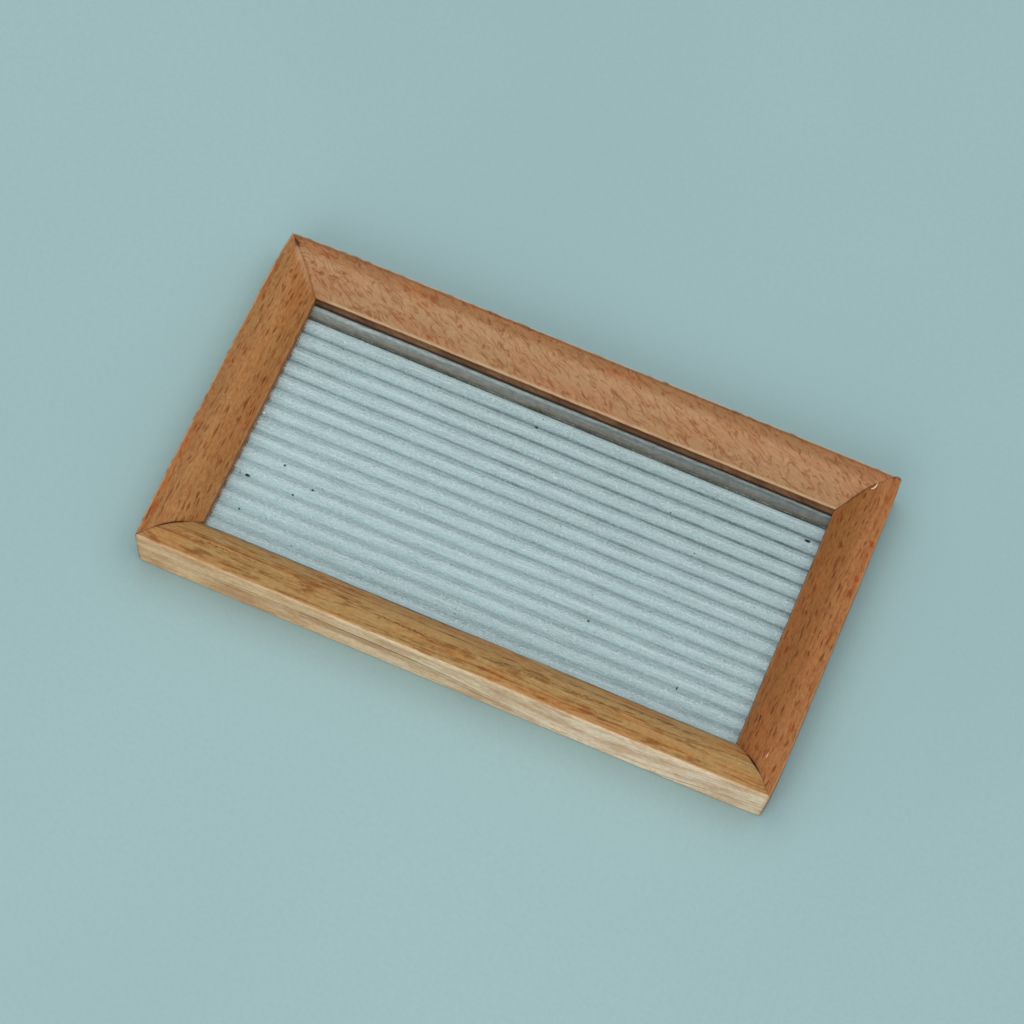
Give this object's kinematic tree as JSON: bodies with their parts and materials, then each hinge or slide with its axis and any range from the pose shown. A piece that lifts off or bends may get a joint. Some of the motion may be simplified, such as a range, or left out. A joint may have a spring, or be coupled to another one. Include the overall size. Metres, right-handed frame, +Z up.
{
  "type": "hand washboard",
  "caption": "Small flat hand washboard: a clear pane of ribbed glass with ribs along its length, held in a mitred beech frame whose moulding slopes down to the glass.",
  "frame": {"origin": "middle of the underside of the frame, on the surface that the board lies on", "axes": "+X along the board and its ribs, -Y towards the front rail, +Z up out of the ribbed face"},
  "size_m": [0.16, 0.092, 0.012],
  "materials": {
    "beech": "old oiled beech, satin, worn at the edges",
    "ribbed_glass": "clear pressed glass with a faint green-blue tint, glossy, a little dusty",
    "brad_steel": "dull darkened steel"
  },
  "bodies": {
    "root": {"back_rail": "beech", "front_rail": "beech", "left_rail": "beech", "right_rail": "beech", "ribbed_glass_pane": "ribbed_glass", "back_left_brad": "brad_steel", "back_right_brad": "brad_steel", "front_left_brad": "brad_steel", "front_right_brad": "brad_steel"}
  },
  "joints": []
}
